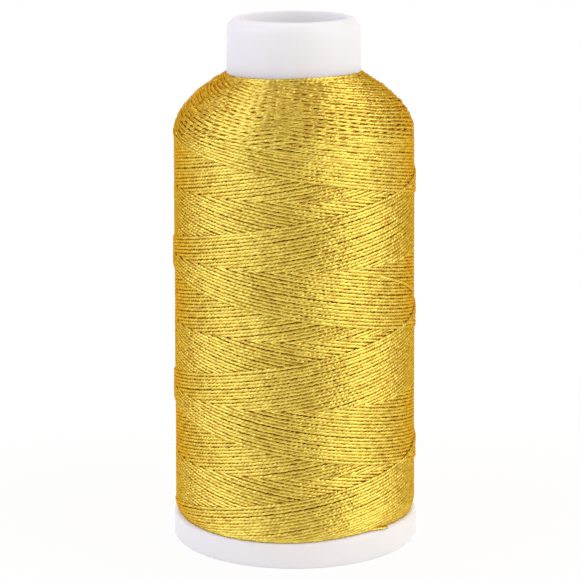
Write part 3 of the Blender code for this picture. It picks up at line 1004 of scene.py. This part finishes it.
def lay_foot_turns():
    paths = []
    for turn_number in range(FOOT_TURNS):
        angles = np.arange(0, FULL_TURN, ANGLE_STEP) + FOOT_TURN_SHIFT * turn_number
        heights = WINDING_FOOT + LOWEST_TURN + FOOT_TURN_STEP * turn_number + foot_lift(angles)
        heights = heights + wander(angles, *FOOT_TURN_WANDER, RNG)
        depth = THREAD_THICKNESS / 2 + FOOT_TURN_DEPTH - FOOT_TURN_OUT * turn_number
        depth = depth + wander(angles, *FOOT_TURN_DEPTH_WANDER, RNG)
        points = on_spool(angles, winding_radius(heights) - slump(angles, heights) - depth, heights)
        paths.append((points, outward_on_spool(points)))
    return lay_threads("thread_foot_turns", paths)


lay_foot_turns()

# %% [markdown]
# ## The shoulder
#
# On the shoulder one sees older layers, each of which turned back a little higher up than the next. Falling
# threads lie on top nearly everywhere, further apart than below, and rising ones show between them and, left
# of the middle, over them. The two go over and under each other, which breaks their lines into short dashes.
# Over them lie short stretches that came up, turned and went down again. The shoulder is steep, so heights
# would crowd the threads near the neck: here they are laid by their run, the way up along the curved
# surface.

# %% Places on the shoulder
PROFILE_BELOW, PROFILE_ABOVE = 6, 1  # mm beyond the shoulder's foot and the neck that are measured too
NECK_RISE = 0.25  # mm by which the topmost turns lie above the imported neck
NECK_RISE_SWING = 0.3  # and how much more in front than behind
NECK_RISE_ANGLE = 30  # degrees from the front where they lie highest
SHOULDER_WAVER = 0.15  # mm
WAVER_FOOT, WAVER_FADE = 4, 5  # mm of run at which it starts, and in which it grows, and fades at the neck

profile_heights = np.linspace(SHOULDER_START - PROFILE_BELOW, NECK_HEIGHT + PROFILE_ABOVE, 640)
profile_radii = winding_radius(profile_heights)
profile_runs = np.concatenate([[0], np.cumsum(np.hypot(np.diff(profile_heights), np.diff(profile_radii)))])
SHOULDER_RUN = float(np.interp(NECK_HEIGHT, profile_heights, profile_runs))


def shoulder_points(angles, runs, depth):
    """Points on the shoulder, at runs in mm up along its surface and a depth under it."""
    heights = np.interp(runs, profile_runs, profile_heights)
    surface = on_spool(angles, winding_radius(heights), heights)
    outward = outward_on_spool(surface)
    return surface - outward * np.asarray(depth)[..., None], outward


def waver(angles, runs):
    """The layers' uneven edges: a swing of two and one of five waves round, which shift with the run."""
    turned = np.radians(angles)
    held = smooth_step((SHOULDER_RUN - runs) / WAVER_FADE) * smooth_step((runs - WAVER_FOOT) / WAVER_FADE)
    swing = np.sin(2 * turned + runs / 3) + 0.6 * np.sin(5 * turned - runs / 2 + 1)
    return SHOULDER_WAVER * held * swing


def neck_run(angles):
    """Where the winding ends at the neck, as a run up the shoulder."""
    return SHOULDER_RUN + NECK_RISE + NECK_RISE_SWING * np.cos(np.radians(angles - NECK_RISE_ANGLE))


print("run from below the shoulder up to the neck, mm:", round(SHOULDER_RUN, 1))

# %% Threads over the shoulder
SHOULDER_STEP = 0.9  # degrees between rings
SHOULDER_SLOPE = 0.9  # of the rise of the threads below, up along the shoulder
SHOULDER_THREADS = 30  # side by side in one lead: each fourth of those below ends under the others
SHOULDER_WIDTH = 0.81  # mm
SHOULDER_ERROR = 0.05
SHOULDER_WANDER = (0.06, 90)  # mm and degrees
SHOULDER_SHORT_WANDER = (0.03, 12)
SPREAD_IN = 50  # degrees in which the threads spread above the join
JOIN_OVERLAP = 55  # degrees that they go on below it
RISING_ANGLE = -15.0  # degrees from the front, where the rising ones lie over the falling ones
RISING_SPREAD = 13.0
RISING_BEHIND = (170, 40)  # the same behind, in degrees from there, and its spread
FALLING_SINKS = 0.1  # mm by which the falling ones go down in those two places
RISING_DEPTH = 0.24  # mm by which the rising ones lie deeper everywhere else
RISING_COMES_UP = 0.3  # mm by which they come up there
PLAIT = (0.065, 26)  # mm by which they go over and under each other, and over how many degrees
GO_UNDER = 0.5  # mm by which an end goes down
FALLING_UNDER_FROM, RISING_UNDER_FROM = 18, -10  # degrees below the join
GO_UNDER_IN = 25  # degrees
END_IN = 12  # degrees in which one goes down that ends above the join


def over_shoulder(angle_at_join, side, spread, ends_above=None):
    """One thread from the neck, or from so many degrees above the join, down to under the threads below.

    It falls if side is 1. Threads that spread leave their neighbours the room of those that end.
    """
    rise = SHOULDER_SLOPE * RISE
    join_run = float(np.interp(pass_height(TOP_JOIN), profile_heights, profile_runs))
    first_above = ends_above or (SHOULDER_RUN + 1 - join_run) / rise
    turned = np.arange(TOP_JOIN - first_above, TOP_JOIN + JOIN_OVERLAP, SHOULDER_STEP)
    above = np.maximum(TOP_JOIN - turned, 0)
    angles = angle_at_join + side * (turned + spread * smooth_step(above / SPREAD_IN))
    below_runs = np.interp(pass_height(np.maximum(turned, TOP_JOIN)), profile_heights, profile_runs)
    runs = below_runs + rise * above + RNG.normal(0, SHOULDER_ERROR)
    runs = runs + waver(angles, runs)
    runs = runs + wander(angles, *SHOULDER_WANDER, RNG) + wander(angles, *SHOULDER_SHORT_WANDER, RNG)
    runs = np.minimum(runs, neck_run(angles) - SHOULDER_WIDTH / 2)
    off = np.abs((angles - RISING_ANGLE + 180) % 360 - 180)
    behind, behind_spread = RISING_BEHIND
    in_front = near(angles, RISING_ANGLE, RISING_SPREAD)
    rising_on_top = in_front + np.exp(-(((off - behind) / behind_spread) ** 2))
    depth = FALLING_SINKS * rising_on_top if side > 0 else RISING_DEPTH - RISING_COMES_UP * rising_on_top
    depth = depth + THREAD_THICKNESS / 2 + SHOULDER_DEPTH + wander(angles, *PLAIT, RNG)
    under_from = FALLING_UNDER_FROM if side > 0 else RISING_UNDER_FROM
    depth += GO_UNDER * smooth_step((turned - TOP_JOIN - under_from) / GO_UNDER_IN)
    if ends_above:
        depth += GO_UNDER * (1 - smooth_step((turned - turned[0]) / END_IN))
    return shoulder_points(angles, runs, depth)


print("threads over the shoulder lie", round(LEAD * SHOULDER_SLOPE / SHOULDER_THREADS, 2), "mm apart")

# %% Short stretches on top
CROSSINGS = 28
CROSSING_LENGTHS = (14, 45)  # degrees
CROSSING_FOOT = 8  # mm of run from which they lie
CROSSINGS_THAT_TURN = 0.4  # the share that come up, turn and fall, where the others only fall
CROSSING_TURN = 20.0  # degrees over which one turns back
CROSSING_DEPTHS = (-0.08, 0.06)  # mm under the winding's outside
NECK_ROOM = 0.4  # mm of run that stay free under the neck, and twice that over a stretch's middle


def crossing_on_shoulder():
    """A short stretch on top, which either only falls or comes up, turns and falls."""
    turned = np.arange(0, RNG.uniform(*CROSSING_LENGTHS), SHOULDER_STEP)
    middle = RNG.uniform(CROSSING_FOOT, SHOULDER_RUN - 2 * NECK_ROOM)
    if RNG.random() < CROSSINGS_THAT_TURN:
        turned = turned - turned.mean()
        drop = np.hypot(turned, CROSSING_TURN) - CROSSING_TURN
    else:
        drop = turned - turned.mean()
    angles = RNG.uniform(0, 360) + turned
    runs = np.minimum(middle - RISE * drop, SHOULDER_RUN - NECK_ROOM)
    share = np.linspace(-1, 1, len(angles))
    depth = THREAD_THICKNESS / 2 + RNG.uniform(*CROSSING_DEPTHS) + GO_UNDER * share**4
    return shoulder_points(angles, runs, depth)


print(CROSSINGS, "short stretches,", CROSSING_LENGTHS, "degrees long")

# %% Lay the threads of the shoulder
ENDS_ABOVE = (14, 40)  # degrees above the join at which each fourth falling thread ends
NECK_TURNS = 2  # level ones against the head
FIRST_NECK_TURN, NECK_TURN_STEP = 0.4, 0.7  # widths of a thread, down from where the winding ends
NECK_TURN_SHIFT = 170  # degrees between their starts
NECK_TURN_DEPTH = 0.05  # mm under the winding's outside
NECK_TURN_WANDER = (0.05, 40)  # mm and degrees


def neck_turn(turn_number):
    angles = np.arange(0, FULL_TURN, SHOULDER_STEP) + NECK_TURN_SHIFT * turn_number
    runs = neck_run(angles) - (FIRST_NECK_TURN + NECK_TURN_STEP * turn_number) * SHOULDER_WIDTH
    depth = THREAD_THICKNESS / 2 + NECK_TURN_DEPTH + wander(angles, *NECK_TURN_WANDER, RNG)
    return shoulder_points(angles, runs, depth)


def lay_shoulder():
    step = 360 / SHOULDER_THREADS
    each = round(PASSES / (PASSES - SHOULDER_THREADS))
    falling = []
    for number in range(PASSES):
        place = number % each
        at_join = TOP_TURN_ANGLE + 360 * number / PASSES
        if place < each - 1:
            falling.append(over_shoulder(at_join, 1, place * (step - 360 / PASSES)))
        else:
            falling.append(over_shoulder(at_join, 1, 0, RNG.uniform(*ENDS_ABOVE)))
    falling += [crossing_on_shoulder() for _ in range(CROSSINGS)]
    falling += [neck_turn(turn_number) for turn_number in range(NECK_TURNS)]
    lay_threads("thread_shoulder_falling", falling, SHOULDER_WIDTH)
    rising = [over_shoulder(step * number, -1, 0) for number in range(SHOULDER_THREADS)]
    lay_threads("thread_shoulder_rising", rising, SHOULDER_WIDTH)


lay_shoulder()

# %% [markdown]
# ## A stray stretch
#
# Low on the right one stretch slipped out of its layer while it was wound, and lies across the others at
# twice their slope. It dips under them at both ends.

# %% Stray stretch
STRAY_FROM = (41.0, 69.2)  # degrees from the front, and height in mm
STRAY_TO = (83.0, 60.6)
STRAY_BEND = 0.4  # the share of its drop that comes late
STRAY_LIFT = 0.3  # mm above the winding's outside
STRAY_DIP = 0.9  # mm by which its ends go down


def lay_stray():
    share = np.linspace(0, 1, 120)
    angles = STRAY_FROM[0] + (STRAY_TO[0] - STRAY_FROM[0]) * share
    dropped = (1 - STRAY_BEND) * share + STRAY_BEND * share**2
    heights = STRAY_FROM[1] + (STRAY_TO[1] - STRAY_FROM[1]) * dropped
    tucked = STRAY_DIP * np.abs(2 * share - 1) ** 6
    radii = winding_radius(heights) - THREAD_THICKNESS / 2 + STRAY_LIFT - tucked
    points = on_spool(angles, radii, heights)
    return lay_threads("thread_stray", [(points, outward_on_spool(points))])


lay_stray()

# %% [markdown]
# ## Under layers
#
# Between the threads one looks down on the layers below, which are the same gold; their copy of the material
# is drawn in darker colours, painted shade. One turned body stands for them, just under the deepest thread
# that shows. It comes up a little on the shoulder, where the threads lie slacker and dark pits would show
# between them.

# %% Under layers, in mm
UNDER_DEPTH = 0.85
UNDER_DEPTH_ON_SHOULDER = 0.72
UNDER_RISE_FROM = 7  # below the shoulder's foot, where it comes up,
UNDER_RISE_IN = 6  # and in how much of height
UNDER_FOOT = WINDING_FOOT + 0.28
UNDER_TOP = NECK_HEIGHT - 1.2
UNDER_BORE_TOP = NECK_HEIGHT - 1.0
UNDER_BORE_GAP = 0.1  # from the tube at that top
UNDER_ROW = 0.78  # between the rows of thread that its material shows
SUNK_BAND = 4  # from the outside inwards, what sinks in with the turns over it


def under_outline():
    """The outline of the under layers, with points where it bends and few where it is straight."""
    heights = [
        *np.linspace(UNDER_FOOT, UNDER_FOOT + SLUMP_HEIGHT, 8),
        *np.linspace(UNDER_FOOT + 20, SHOULDER_START - 10, 4),
        *np.linspace(SHOULDER_START - UNDER_RISE_FROM, SHOULDER_START, 6)[:-1],
        *np.linspace(SHOULDER_START, UNDER_TOP, 24)[1:],
    ]
    bore_foot = Vector((tube_radius(WINDING_FOOT) + FIT_GAP, UNDER_FOOT))
    outline = [bore_foot, Vector((tube_radius(NECK_HEIGHT) + UNDER_BORE_GAP, UNDER_BORE_TOP))]
    for height in reversed(heights):
        on_shoulder = float(smooth_step((height - SHOULDER_START + UNDER_RISE_FROM) / UNDER_RISE_IN))
        depth = UNDER_DEPTH + (UNDER_DEPTH_ON_SHOULDER - UNDER_DEPTH) * on_shoulder
        outline.append(Vector((float(winding_radius(height)) - depth, height)))
    return outline


def make_under_layers():
    under = spin("thread_under_layers", under_outline(), gold_in_painted_shade)
    for vertex in under.data.vertices:
        place = vertex.co / MM
        across = math.hypot(place.x, place.y)
        if across > WINDING_FOOT_RADIUS - SUNK_BAND and place.z < UNDER_FOOT + SLUMP_HEIGHT:
            angle = math.degrees(math.atan2(place.x, -place.y))
            vertex.co.xy *= 1 - float(slump(angle, place.z)) / across
            if place.z < UNDER_FOOT + 0.1:
                vertex.co.z += float(foot_lift(angle)) * MM
    layer = under.data.uv_layers.new(name=MAP_NAME)
    for loop in under.data.loops:
        place = under.data.vertices[loop.vertex_index].co / MM
        along = math.atan2(place.x, -place.y) * WINDING_FOOT_RADIUS
        layer.uv[loop.index].vector = (along, place.z / UNDER_ROW)
    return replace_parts(under, "thread_inner_layers")


make_under_layers()

# %% [markdown]
# ## The end of the thread
#
# The thread's loose end lies round the lower right of the spool. It comes out of the lowest turn, lies along
# the top of the foot's rim, and its tip has slipped a little way over the rim's rounded edge. It is held all
# the way, so it is one more stretch of the winding and not a free cord.

# %% Tail
TAIL_FROM = 22.0  # degrees from the front
TAIL_TO = 48.5
TAIL_OUT = 0.33  # the share of its length over which it comes out of the lowest turn
TAIL_SLIDES = 0.45  # the share after which it slides over the rim's edge
TAIL_DROP = 32.0  # degrees round that edge to its tip


def make_tail():
    share = np.linspace(0, 1, 64)
    angles = TAIL_FROM * (1 - share) + TAIL_TO * share
    out = smooth_step(share / TAIL_OUT)
    over = np.radians(90 - TAIL_DROP * smooth_step((share - TAIL_SLIDES) / (1 - TAIL_SLIDES)))
    edge_foot = FOOT_HEIGHT + FOOT_FULLER - FOOT_EDGE_ROUNDING
    edge_height = FOOT_EDGE_ROUNDING + foot_lift(angles) - FOOT_LIFT
    rim_heights = edge_foot + (edge_height + THREAD_THICKNESS / 2) * np.sin(over)
    rim_radii = FOOT_RADIUS - FOOT_EDGE_ROUNDING
    rim_radii = rim_radii + (FOOT_EDGE_ROUNDING + THREAD_THICKNESS / 2) * np.cos(over)
    turn_heights = WINDING_FOOT + LOWEST_TURN + foot_lift(angles)
    turn_radii = winding_radius(turn_heights) - slump(angles, turn_heights) - THREAD_THICKNESS / 2
    heights = turn_heights + (rim_heights - turn_heights) * out
    points = on_spool(angles, turn_radii + (rim_radii - turn_radii) * out, heights)
    level = unit(points * (1, 1, 0))
    outward = level * np.cos(over)[:, None] + np.sin(over)[:, None] * np.array((0, 0, 1))
    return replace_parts(lay_threads("thread_end", [(points, outward)]), "thread_tail")


make_tail()
